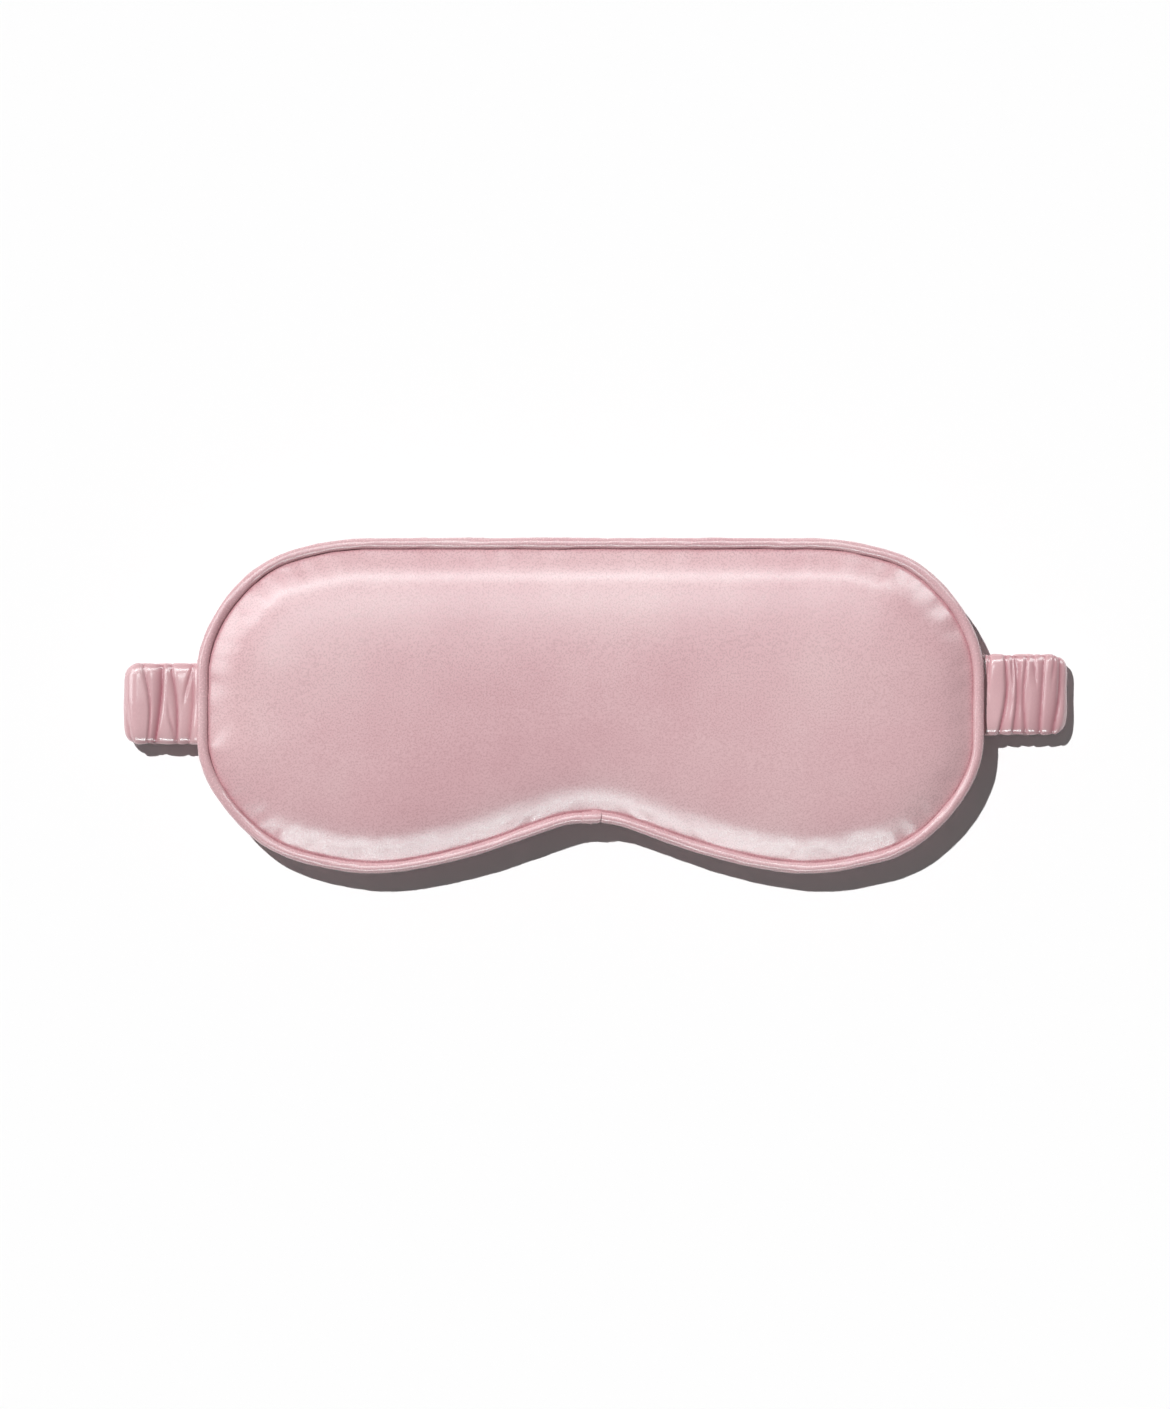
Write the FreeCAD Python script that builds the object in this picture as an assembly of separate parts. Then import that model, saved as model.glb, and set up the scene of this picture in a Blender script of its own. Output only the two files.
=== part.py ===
"""Sleep eye mask: a padded satin mask with piped edges on a ruched elastic head strap.

The mask lies flat on its strap, front up. The strap's back run lies on the ground and its two
ends fold up and over to the mask's side seams. The padded body can bend at the nose and the
loop can be opened, so it is made as two halves, and the strap as a back run, two side runs,
two folds and two short ends.

Frame: millimetres, +X across the mask, +Y towards the forehead edge, +Z out of the front face.
Origin: on the ground, under the middle of the mask.
"""
import FreeCAD, Part
import math
import os

os.makedirs("parts", exist_ok=True)
Vec = FreeCAD.Vector

# ---- outline of the mask, one half: corners of a polygon that tangent arcs round off ----------
HALF_OUTLINE = [
    (70.0, 45.8), (90.0, 40.0), (102.0, 27.0), (107.5, 14.5),      # forehead edge and temple
    (107.5, -16.0), (100.0, -29.0), (87.0, -41.0), (60.0, -47.3),  # temple and cheek lobe
    (34.0, -42.0), (14.0, -35.0), (6.0, -32.0),                    # up to the notch for the nose
]
mask_scale_x = 1.0           # stretches the outline sideways
mask_scale_y = 1.0           # stretches the outline up and down

# ---- piping round the edge --------------------------------------------------------------------
piping_d = 3.4               # satin bias tube
piping_wall = 0.5
cord_play = 0.1              # round the cotton cord inside the tube
piping_join_half = 5.0       # the overlapped ends at the nose reach this far each way

# ---- padded body ------------------------------------------------------------------------------
fabric = 0.4                 # satin and lining thickness in the model
liner_thick = 0.4            # blackout cloth on the middle plane
thread_d = 0.4
seam_gap = 0.5               # between piping and panel, where the seam thread runs
front_crown = 6.3            # height of the front dome above the liner
back_crown = 5.5             # depth of the back dome below the liner
front_round = 5.2            # rounding of the front dome's rim
back_round = 4.6
round_share = 0.9            # a rim's rounding takes at most this share of its dome's height

# ---- strap ------------------------------------------------------------------------------------
strap_w = 22.0               # ruched sleeve, flat width
strap_thick = 4.5            # ruched sleeve, both layers and their gathers
strap_y = 1.8                # the strap's centre line lies a little above the mask's
strap_round = 1.2
elastic_w = 18.0
elastic_thick = 1.1
elastic_play = 0.2           # room round the elastic inside the sleeve
back_half = 30.0             # half length of the back run that stays on the ground
end_len = 17.0               # free length of each end, from the side seam to its fold
fold_gap = 0.5               # between the lower and upper layers at a fold
tail_len = 11.0              # strap end sewn into the side seam
tail_thick = 1.5             # strap end pressed flat in the seam
tail_elastic = 0.9
tail_play = 0.1
tack_w = 1.2                 # row of tack stitches across the strap's tail
tack_h = 0.8                 # from the tail up to the liner
tack_inset = 3.0

# ---- clearances -------------------------------------------------------------------------------
body_gap = 0.3               # between pieces that move against each other
touch_gap = 0.1              # between layers sewn into one body

# ---- heights and places worked out from the sizes above ---------------------------------------
pivot_z = strap_thick + fold_gap / 2          # crease of each fold, top of the back run
end_z = strap_thick + fold_gap                # underside of the strap's ends
back_z = strap_thick + body_gap               # lowest point of the padded body
liner_low = back_z + back_crown
liner_top = liner_low + liner_thick
seam_z = (liner_low + liner_top) / 2
piping_cord_d = piping_d - 2 * (piping_wall + cord_play)
mask_half = max(x for x, y in HALF_OUTLINE) * mask_scale_x
end_x = mask_half + body_gap                  # inner end of each strap end
fold_x = end_x + end_len                      # pivot of each fold
panel_inset = piping_d + seam_gap             # panels stop this far inside the outline
tail_top = liner_low - tack_h
tail_low = tail_top - tail_thick
piping_z = tail_top + touch_gap + piping_d / 2


def rounded_outline():
    """Closed wire at z = 0: both halves of the polygon with a tangent arc at every corner."""
    right = [Vec(x * mask_scale_x, y * mask_scale_y, 0) for x, y in HALF_OUTLINE]
    corners = right + [Vec(-p.x, p.y, 0) for p in reversed(right)]
    arcs = []
    for i, corner in enumerate(corners):
        before = corners[i - 1] - corner
        after = corners[(i + 1) % len(corners)] - corner
        reach = min(before.Length, after.Length) / 2
        before.normalize()
        after.normalize()
        half_angle = before.getAngle(after) / 2
        middle = before + after
        middle.normalize()
        centre_dist = reach / math.cos(half_angle)
        radius = reach * math.tan(half_angle)
        top = corner + middle * (centre_dist - radius)
        arcs.append((corner + before * reach, top, corner + after * reach))
    edges = []
    for i, (start, top, stop) in enumerate(arcs):
        edges.append(Part.Arc(start, top, stop).toShape())
        following = arcs[(i + 1) % len(arcs)][0]
        if (following - stop).Length > 1e-4:
            edges.append(Part.LineSegment(stop, following).toShape())
    return Part.Wire(edges)


OUTLINE = rounded_outline()


def inner_outline(inset):
    return OUTLINE.makeOffset2D(-inset)


def plate(inset, low, thick):
    """Flat layer with the mask's outline, drawn in by the inset."""
    solid = Part.Face(inner_outline(inset)).extrude(Vec(0, 0, thick))
    solid.translate(Vec(0, 0, low))
    return solid


def dome(inset, base, height, rounding):
    """Padded layer standing on the plane z = base; a negative height goes down."""
    solid = Part.Face(inner_outline(inset)).extrude(Vec(0, 0, height))
    rim = [e for e in solid.Edges
           if all(abs(v.Z - height) < 1e-6 for v in e.Vertexes)]
    solid = solid.makeFillet(min(rounding, round_share * abs(height)), rim)
    solid.translate(Vec(0, 0, base))
    return solid


def ring(inset, z, diameter):
    """Round bead that follows the outline."""
    path = inner_outline(inset)
    start = path.Edges[0].Vertexes[0].Point
    along = path.Edges[0].tangentAt(path.Edges[0].FirstParameter)
    profile = Part.Wire(Part.makeCircle(diameter / 2, start, along))
    solid = path.makePipeShell([profile], True, False)
    solid.translate(Vec(0, 0, z))
    return solid


def box(x0, x1, y0, y1, z0, z1):
    return Part.makeBox(x1 - x0, y1 - y0, z1 - z0, Vec(x0, y0, z0))


def side_box(side, x0, x1, width, z0, z1):
    """Box centred on the strap's line, from x0 to x1 out from the middle, on one side."""
    low, high = (x0, x1) if side > 0 else (-x1, -x0)
    return box(low, high, strap_y - width / 2, strap_y + width / 2, z0, z1)


def half_space(side, from_x):
    """Everything beyond from_x on one side."""
    far = 2 * mask_half
    low, high = (from_x, far) if side > 0 else (-far, -from_x)
    return box(low, high, -far, far, -far, far)


def save(name, shape):
    solid = shape.removeSplitter()
    solid.exportStep("parts/%s.step" % name)
    facts = (name, solid.Volume, len(solid.Solids), solid.isValid())
    print("%-24s %9.1f mm3  solids %d  valid %s" % facts)


# ---- strap: sleeve and elastic ----------------------------------------------------------------
void_w = elastic_w + 2 * elastic_play
void_thick = elastic_thick + 2 * elastic_play


def strap_run(x0, x1, low):
    """Straight length of ruched sleeve with its hollow, and the elastic inside, about y = strap_y."""
    mid = low + strap_thick / 2
    y0, y1 = strap_y - strap_w / 2, strap_y + strap_w / 2
    sleeve = box(x0, x1, y0, y1, low, low + strap_thick)
    long_edges = [e for e in sleeve.Edges if abs(e.tangentAt(e.FirstParameter).x) > 0.9]
    sleeve = sleeve.makeFillet(strap_round, long_edges)
    v0, v1 = strap_y - void_w / 2, strap_y + void_w / 2
    sleeve = sleeve.cut(box(x0, x1, v0, v1, mid - void_thick / 2, mid + void_thick / 2))
    e0, e1 = strap_y - elastic_w / 2, strap_y + elastic_w / 2
    elastic = box(x0, x1, e0, e1, mid - elastic_thick / 2, mid + elastic_thick / 2)
    return sleeve, elastic


def half_turn(width, inner, outer, side):
    """Half ring about the fold's crease, on the outer side of it."""
    y0 = strap_y - width / 2
    centre = Vec(side * fold_x, y0, pivot_z)
    ring_solid = Part.makeCylinder(outer, width, centre, Vec(0, 1, 0))
    if inner > 0:
        ring_solid = ring_solid.cut(Part.makeCylinder(inner, width, centre, Vec(0, 1, 0)))
    return ring_solid.common(half_space(side, fold_x))


sleeve, elastic = strap_run(-back_half, back_half, 0)
save("sleeve_back", sleeve)
save("elastic_back", elastic)

elastic_r = pivot_z - strap_thick / 2         # radius of the elastic's middle line in a fold
for side, word in ((-1, "left"), (1, "right")):
    run_ends = sorted((side * (back_half + body_gap), side * fold_x))
    sleeve, elastic = strap_run(run_ends[0], run_ends[1], 0)
    save("sleeve_run_" + word, sleeve)
    save("elastic_run_" + word, elastic)

    short_ends = sorted((side * end_x, side * (fold_x - body_gap)))
    sleeve, elastic = strap_run(short_ends[0], short_ends[1], end_z)
    save("sleeve_end_" + word, sleeve)
    save("elastic_end_" + word, elastic)

    outer_turn = half_turn(strap_w, fold_gap / 2, pivot_z, side)
    rims = [e for e in outer_turn.Edges
            if e.Curve.TypeId == "Part::GeomCircle" and abs(e.Curve.Radius - pivot_z) < 1e-6]
    outer_turn = outer_turn.makeFillet(strap_round, rims)
    hollow = half_turn(void_w, elastic_r - void_thick / 2, elastic_r + void_thick / 2, side)
    save("sleeve_fold_" + word, outer_turn.cut(hollow))
    save("elastic_fold_" + word,
         half_turn(elastic_w, elastic_r - elastic_thick / 2, elastic_r + elastic_thick / 2, side))

# ---- padded body, piping and the strap's tails, one half at a time ----------------------------
front_outer = dome(panel_inset, liner_top, front_crown, front_round)
front_inner = dome(panel_inset + fabric, liner_top, front_crown - fabric, front_round - fabric)
back_outer = dome(panel_inset, liner_low, -back_crown, back_round)
back_inner = dome(panel_inset + fabric, liner_low, fabric - back_crown, back_round - fabric)
liner = plate(panel_inset, liner_low, liner_thick)
cover_hole = ring(piping_d / 2, piping_z, piping_d - 2 * piping_wall)
cover = ring(piping_d / 2, piping_z, piping_d).cut(cover_hole)
cord = ring(piping_d / 2, piping_z, piping_cord_d)
thread = ring(piping_d + seam_gap / 2, seam_z, thread_d)

nose_zone = box(-piping_join_half, piping_join_half, -2 * mask_half, 0, -mask_half, mask_half)
nose_keepout = box(-piping_join_half - body_gap, piping_join_half + body_gap,
                   -2 * mask_half, 0, -mask_half, mask_half)

for side, word in ((-1, "left"), (1, "right")):
    half = half_space(side, body_gap / 2)
    tail_x = mask_half - tail_len
    tack_x = mask_half - panel_inset - fabric - tack_inset
    tail_outer = side_box(side, tail_x, mask_half, strap_w, tail_low, tail_top)
    tail_mid = (tail_low + tail_top) / 2
    hollow_half = tail_elastic / 2 + tail_play
    tail_void = side_box(side, tail_x, mask_half, elastic_w + 2 * tail_play,
                         tail_mid - hollow_half, tail_mid + hollow_half)
    tail_elastic_box = side_box(side, tail_x, mask_half, elastic_w,
                                tail_mid - tail_elastic / 2, tail_mid + tail_elastic / 2)
    pocket = side_box(side, tail_x - touch_gap, mask_half, strap_w + 2 * touch_gap,
                      tail_low - touch_gap, tail_top + touch_gap)
    tack = side_box(side, tack_x - tack_w, tack_x, elastic_w, tail_top, liner_low)
    tack_pocket = side_box(side, tack_x - tack_w - touch_gap, tack_x + touch_gap,
                           elastic_w + 2 * touch_gap, tail_top, liner_low)

    save("front_panel_" + word, front_outer.cut(front_inner).common(half))
    save("front_wadding_" + word, front_inner.common(half))
    save("blackout_liner_" + word, liner.common(half))
    save("back_wadding_" + word, back_inner.common(half).cut(pocket).cut(tack_pocket))
    save("back_panel_" + word, back_outer.cut(back_inner).common(half).cut(pocket))
    save("piping_cover_" + word, cover.common(half).cut(nose_keepout))
    save("piping_cord_" + word, cord.common(half).cut(nose_keepout))
    save("seam_thread_" + word, thread.common(half))
    save("sleeve_tail_" + word, tail_outer.cut(tail_void))
    save("elastic_tail_" + word, tail_elastic_box)
    save("bar_tack_" + word, tack)

# ---- piping ends, overlapped and stitched at the notch for the nose ---------------------------
save("piping_join", cover.common(nose_zone))
save("piping_join_cord", cord.common(nose_zone))

whole = 2 * (fold_x + pivot_z)
print("overall width %.1f, mask %.1f wide, height %.1f" % (whole, 2 * mask_half, liner_top + front_crown))
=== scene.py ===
"""Sleep eye mask in pink satin, laid flat on its ruched strap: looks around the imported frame."""
import math
import random

import bmesh
import bpy
import numpy as np
from mathutils import Matrix, Vector, noise


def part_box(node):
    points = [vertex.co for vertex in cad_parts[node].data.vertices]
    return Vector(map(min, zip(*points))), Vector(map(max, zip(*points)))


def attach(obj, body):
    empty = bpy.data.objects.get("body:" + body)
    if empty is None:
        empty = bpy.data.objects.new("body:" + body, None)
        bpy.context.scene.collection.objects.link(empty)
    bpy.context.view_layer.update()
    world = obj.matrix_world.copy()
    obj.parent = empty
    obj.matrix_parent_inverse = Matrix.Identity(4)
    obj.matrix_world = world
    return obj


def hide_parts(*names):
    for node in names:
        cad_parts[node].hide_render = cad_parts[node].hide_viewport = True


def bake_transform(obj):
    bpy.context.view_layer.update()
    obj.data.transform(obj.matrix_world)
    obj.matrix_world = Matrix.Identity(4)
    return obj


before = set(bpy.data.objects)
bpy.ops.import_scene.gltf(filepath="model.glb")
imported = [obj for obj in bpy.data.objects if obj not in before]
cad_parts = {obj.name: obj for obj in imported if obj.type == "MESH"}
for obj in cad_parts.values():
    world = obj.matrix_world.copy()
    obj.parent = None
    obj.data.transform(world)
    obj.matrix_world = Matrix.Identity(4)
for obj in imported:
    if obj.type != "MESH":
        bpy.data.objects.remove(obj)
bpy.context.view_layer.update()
MM = 0.001

# ---- Camera, light and ground -----------------------------------------------------------------
# The mask is seen from straight above through a long lens. A small hard lamp at the upper left
# gives the crisp shadow, and large soft panels give the satin its long highlights. The hard lamp
# shows in no reflection and the panels show only in reflections.
camera_height = 2.2
frame_height = 384.9 * MM                     # what the picture takes in, at the mask's rim
rim_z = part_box("blackout_liner_left")[1].z
camera_data = bpy.data.cameras.new("camera")
camera_data.sensor_fit = "VERTICAL"
camera_data.sensor_height = 24
camera_data.lens = camera_data.sensor_height * (camera_height - rim_z) / frame_height
camera = bpy.data.objects.new("camera", camera_data)
camera.location = (-1.5 * MM, 0.3 * MM, camera_height)
bpy.context.collection.objects.link(camera)
bpy.context.scene.camera = camera


def lamp(name, kind, place, aim, power, size, colour=(1, 1, 1)):
    """Sun or rectangular panel turned to its aim; size is the sun's angle or the panel's sides."""
    data = bpy.data.lights.new(name, kind)
    data.energy = power
    data.color = colour
    if kind == "SUN":
        data.angle = size
    else:
        data.shape = "RECTANGLE"
        data.size, data.size_y = size
    obj = bpy.data.objects.new(name, data)
    obj.location = place
    obj.rotation_euler = (Vector(aim) - Vector(place)).to_track_quat("-Z", "Y").to_euler()
    bpy.context.collection.objects.link(obj)
    return obj


key = lamp("key", "SUN", (-0.36, 0.43, 0.95), (0, 0, 0), 3.47, math.radians(1.0))
key.visible_glossy = False
SHEEN_LIGHT = (0.74, 1.0, 0.97)               # takes the pink out of the highlights
for name, place, power, size in (("top_panel", (-0.15, 0.73, 0.97), 5.5, (1.3, 0.18)),
                                 ("corner_panel", (-0.66, 0.62, 0.80), 1.2, (0.6, 0.22)),
                                 ("left_panel", (-1.00, 0.36, 0.50), 3.8, (0.7, 0.5)),
                                 ("near_panel", (-0.05, -0.90, 0.74), 6.9, (1.4, 0.14)),
                                 ("right_panel", (0.75, 0.80, 0.62), 3.0, (0.5, 0.4)),
                                 ("sky_panel", (-0.15, 0.42, 1.60), 3.2, (0.9, 0.30))):
    panel_lamp = lamp(name, "AREA", place, (0, 0, 0), power, size, SHEEN_LIGHT)
    panel_lamp.visible_diffuse = False

world = bpy.data.worlds.new("studio")
world.use_nodes = True
sky = world.node_tree.nodes["Background"]
sky.inputs["Color"].default_value = (1, 1, 1, 1)
sky.inputs["Strength"].default_value = 0.115
bpy.context.scene.world = world
bpy.context.scene.view_settings.view_transform = "Standard"

floor_mesh = bpy.data.meshes.new("floor")
floor_bm = bmesh.new()
bmesh.ops.create_grid(floor_bm, x_segments=1, y_segments=1, size=3)
floor_bm.to_mesh(floor_mesh)
floor = bpy.data.objects.new("floor", floor_mesh)
bpy.context.collection.objects.link(floor)
paper = bpy.data.materials.new("white_paper")
paper.use_nodes = True
paper_shader = paper.node_tree.nodes["Principled BSDF"]
paper_shader.inputs["Base Color"].default_value = (0.93, 0.93, 0.93, 1)
paper_shader.inputs["Roughness"].default_value = 0.9
paper_shader.inputs["Specular IOR Level"].default_value = 0
floor.data.materials.append(paper)


# ---- Satin ------------------------------------------------------------------------------------
# All the outer cloth is one pink polyester satin: long floats on a fine warp, so it shines in
# broad streaks, with faint thread lines and cloudy changes of tone.
SATIN_PINK = (0.66, 0.405, 0.43)
SATIN_PALE = (0.72, 0.50, 0.51)
SATIN_DEEP = (0.56, 0.30, 0.33)


def socket(group, name, kind, way, value=None):
    made = group.interface.new_socket(name=name, in_out=way, socket_type="NodeSocket" + kind)
    if value is not None:
        made.default_value = value


def satin_group():
    """Colour, roughness and relief of satin from a place on the cloth in metres."""
    g = bpy.data.node_groups.new("satin_weave", "ShaderNodeTree")
    socket(g, "Place", "Vector", "INPUT")
    socket(g, "Thread", "Float", "INPUT", 0.00028)
    socket(g, "Base", "Color", "INPUT")
    socket(g, "Pale", "Color", "INPUT")
    socket(g, "Deep", "Color", "INPUT")
    socket(g, "Gloss", "Float", "INPUT", 0.36)
    socket(g, "Grain", "Float", "INPUT", 1.0)
    socket(g, "Color", "Color", "OUTPUT")
    socket(g, "Roughness", "Float", "OUTPUT")
    socket(g, "Height", "Float", "OUTPUT")
    n, link = g.nodes, g.links.new
    inp, out = n.new("NodeGroupInput"), n.new("NodeGroupOutput")

    def node(kind, **values):
        made = n.new("ShaderNode" + kind)
        for key, value in values.items():
            setattr(made, key, value)
        return made

    clouds = node("TexNoise")
    clouds.inputs["Scale"].default_value = 28
    clouds.inputs["Detail"].default_value = 3
    link(inp.outputs["Place"], clouds.inputs["Vector"])
    grain = node("TexNoise")
    grain.inputs["Scale"].default_value = 2000
    grain.inputs["Detail"].default_value = 2
    link(inp.outputs["Place"], grain.inputs["Vector"])

    tone = node("Mix", data_type="RGBA")
    to_pale = node("MapRange")
    to_pale.inputs["From Min"].default_value = 0.48
    to_pale.inputs["From Max"].default_value = 0.75
    to_pale.inputs["To Max"].default_value = 0.55
    link(clouds.outputs["Fac"], to_pale.inputs["Value"])
    link(to_pale.outputs["Result"], tone.inputs["Factor"])
    link(inp.outputs["Base"], tone.inputs["A"])
    link(inp.outputs["Pale"], tone.inputs["B"])
    deepen = node("Mix", data_type="RGBA")
    to_deep = node("MapRange")
    to_deep.inputs["From Min"].default_value = 0.50
    to_deep.inputs["From Max"].default_value = 0.25
    to_deep.inputs["To Max"].default_value = 0.5
    link(clouds.outputs["Fac"], to_deep.inputs["Value"])
    link(to_deep.outputs["Result"], deepen.inputs["Factor"])
    link(tone.outputs["Result"], deepen.inputs["A"])
    link(inp.outputs["Deep"], deepen.inputs["B"])
    speckle = node("Mix", data_type="RGBA", blend_type="MULTIPLY")
    shade = node("MapRange")
    shade.inputs["From Min"].default_value = 0.3
    shade.inputs["From Max"].default_value = 0.7
    shade.inputs["To Min"].default_value = 0.92
    shade.inputs["To Max"].default_value = 1.07
    link(grain.outputs["Fac"], shade.inputs["Value"])
    link(inp.outputs["Grain"], speckle.inputs["Factor"])
    link(deepen.outputs["Result"], speckle.inputs["A"])
    link(shade.outputs["Result"], speckle.inputs["B"])
    link(speckle.outputs["Result"], out.inputs["Color"])

    rough = node("MapRange")
    rough.inputs["From Min"].default_value = 0.25
    rough.inputs["From Max"].default_value = 0.75
    low = node("Math", operation="SUBTRACT")
    low.inputs[1].default_value = 0.06
    high = node("Math", operation="ADD")
    high.inputs[1].default_value = 0.10
    link(inp.outputs["Gloss"], low.inputs[0])
    link(inp.outputs["Gloss"], high.inputs[0])
    link(low.outputs[0], rough.inputs["To Min"])
    link(high.outputs[0], rough.inputs["To Max"])
    link(grain.outputs["Fac"], rough.inputs["Value"])
    link(rough.outputs["Result"], out.inputs["Roughness"])

    split = node("SeparateXYZ")
    link(inp.outputs["Place"], split.inputs[0])
    rows = []
    for axis, skew in (("X", 0.23), ("Y", 1.0)):
        turns = node("Math", operation="DIVIDE")
        link(split.outputs[axis], turns.inputs[0])
        link(inp.outputs["Thread"], turns.inputs[1])
        angle = node("Math", operation="MULTIPLY")
        angle.inputs[1].default_value = 2 * math.pi * skew
        link(turns.outputs[0], angle.inputs[0])
        wave = node("Math", operation="SINE")
        link(angle.outputs[0], wave.inputs[0])
        rows.append(wave)
    weave = node("Math", operation="MULTIPLY")
    link(rows[0].outputs[0], weave.inputs[0])
    link(rows[1].outputs[0], weave.inputs[1])
    relief = node("Math", operation="MULTIPLY_ADD")
    relief.inputs[1].default_value = 0.35
    link(weave.outputs[0], relief.inputs[0])
    link(grain.outputs["Fac"], relief.inputs[2])
    link(relief.outputs[0], out.inputs["Height"])
    return g


SATIN_WEAVE = satin_group()


def satin(name, attribute=None, gloss=0.36, relief=0.000008, grain=1.0):
    """Satin whose weave follows the object, or the strip attribute of a sewn tube."""
    m = bpy.data.materials.new(name)
    m.use_nodes = True
    nodes, link = m.node_tree.nodes, m.node_tree.links.new
    shader = nodes["Principled BSDF"]
    weave = nodes.new("ShaderNodeGroup")
    weave.node_tree = SATIN_WEAVE
    if attribute:
        place = nodes.new("ShaderNodeAttribute")
        place.attribute_name = attribute
        link(place.outputs["Vector"], weave.inputs["Place"])
    else:
        place = nodes.new("ShaderNodeTexCoord")
        link(place.outputs["Object"], weave.inputs["Place"])
    weave.inputs["Base"].default_value = (*SATIN_PINK, 1)
    weave.inputs["Pale"].default_value = (*SATIN_PALE, 1)
    weave.inputs["Deep"].default_value = (*SATIN_DEEP, 1)
    weave.inputs["Gloss"].default_value = gloss
    weave.inputs["Grain"].default_value = grain
    bump = nodes.new("ShaderNodeBump")
    bump.inputs["Strength"].default_value = 0.6
    bump.inputs["Distance"].default_value = relief
    link(weave.outputs["Height"], bump.inputs["Height"])
    link(weave.outputs["Color"], shader.inputs["Base Color"])
    link(weave.outputs["Roughness"], shader.inputs["Roughness"])
    link(bump.outputs["Normal"], shader.inputs["Normal"])
    shader.inputs["IOR"].default_value = 1.7
    shader.inputs["Specular IOR Level"].default_value = 0.8
    shader.inputs["Specular Tint"].default_value = (1.0, 0.93, 0.94, 1)
    shader.inputs["Sheen Weight"].default_value = 0.18
    shader.inputs["Sheen Roughness"].default_value = 0.45
    shader.inputs["Sheen Tint"].default_value = (1.0, 0.86, 0.88, 1)
    return m


# Painted shade: the deep rose that creases and the seam groove are painted with, in place of their shade.
PAINTED_CREASE_SHADE = (0.33, 0.075, 0.11)


def paint_crease_shade(m):
    """Paints shade into the satin: deep rose by its crease attribute, standing in for the shade and the
    light bounced from fold to fold.
    """
    nodes, link = m.node_tree.nodes, m.node_tree.links.new
    shader = nodes["Principled BSDF"]
    weave = shader.inputs["Base Color"].links[0].from_socket
    depth = nodes.new("ShaderNodeAttribute")
    depth.attribute_name = "crease"
    tone = nodes.new("ShaderNodeMix")
    tone.data_type = "RGBA"
    tone.inputs["B"].default_value = (*PAINTED_CREASE_SHADE, 1)
    link(depth.outputs["Fac"], tone.inputs["Factor"])
    link(weave, tone.inputs["A"])
    link(tone.outputs["Result"], shader.inputs["Base Color"])
    return m


def mark_painted_crease_shade(mesh, depth):
    """Stores how deep in a fold each point lies, from 0 to 1, as the strength of its painted shade."""
    layer = mesh.attributes.new("crease", "FLOAT", "POINT")
    layer.data.foreach_set("value", np.asarray(depth, np.float32))


def piece_from(name, bm, material, smooth=True):
    """Object at the origin from a bmesh whose places are final."""
    mesh = bpy.data.meshes.new(name)
    bm.to_mesh(mesh)
    bm.free()
    obj = bpy.data.objects.new(name, mesh)
    bpy.context.collection.objects.link(obj)
    mesh.materials.append(material)
    mesh.polygons.foreach_set("use_smooth", [smooth] * len(mesh.polygons))
    return obj


def finished_mesh(obj):
    """The object's mesh with its modifiers applied."""
    graph = bpy.context.evaluated_depsgraph_get()
    return bpy.data.meshes.new_from_object(obj.evaluated_get(graph))


def coordinates(mesh):
    """The mesh's points as an array with one row each."""
    co = np.empty(len(mesh.vertices) * 3)
    mesh.vertices.foreach_get("co", co)
    return co.reshape(-1, 3)


def set_coordinates(mesh, co):
    mesh.vertices.foreach_set("co", co.ravel())
    mesh.update()


# ---- Outline ----------------------------------------------------------------------------------
# Every sewn layer follows one outline, read from the blackout liner's edge. A line at any
# distance from it serves the panels, the piping and the seam.
PIPING_LOW, PIPING_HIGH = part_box("piping_cover_left")
PIPING_R = (PIPING_HIGH.z - PIPING_LOW.z) / 2
PIPING_Z = (PIPING_HIGH.z + PIPING_LOW.z) / 2
LINER_LOW, LINER_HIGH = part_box("blackout_liner_left")
SEAM_Z = (LINER_LOW.z + LINER_HIGH.z) / 2
LINER_INSET = LINER_LOW.x - PIPING_LOW.x      # from the mask's outline to the liner's edge
OUTLINE_STEPS = 720


def evenly(points, count):
    """Closed line through the points, cut into equal steps."""
    loop = np.vstack([points, points[:1]])
    along = np.concatenate([[0], np.cumsum(np.linalg.norm(np.diff(loop, axis=0), axis=1))])
    marks = np.linspace(0, along[-1], count, endpoint=False)
    return np.column_stack([np.interp(marks, along, loop[:, k]) for k in range(loop.shape[1])])


def moved_in(points, inset):
    """The closed line moved towards the middle; a negative inset moves it out."""
    along = np.roll(points, -2, 0) - np.roll(points, 2, 0)
    along /= np.linalg.norm(along, axis=1)[:, None]
    inward = np.column_stack([-along[:, 1], along[:, 0]])
    return points + inward * inset


def liner_edge():
    """The liner's cut edge from both its halves, smoothed over their meeting line."""
    corners = set()
    for name in ("blackout_liner_left", "blackout_liner_right"):
        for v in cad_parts[name].data.vertices:
            corners.add((round(v.co.x, 6), round(v.co.y, 6)))
    ordered = sorted(corners, key=lambda p: math.atan2(p[1], p[0]))
    line = evenly(np.array(ordered), OUTLINE_STEPS)
    for _ in range(6):
        line = (np.roll(line, 1, 0) + line * 2 + np.roll(line, -1, 0)) / 4
    return line


OUTLINE = moved_in(liner_edge(), -LINER_INSET)


def outline_at(inset, count=OUTLINE_STEPS):
    """The mask's outline moved in by a distance, in equal steps."""
    return evenly(moved_in(OUTLINE, inset), count)


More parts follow.
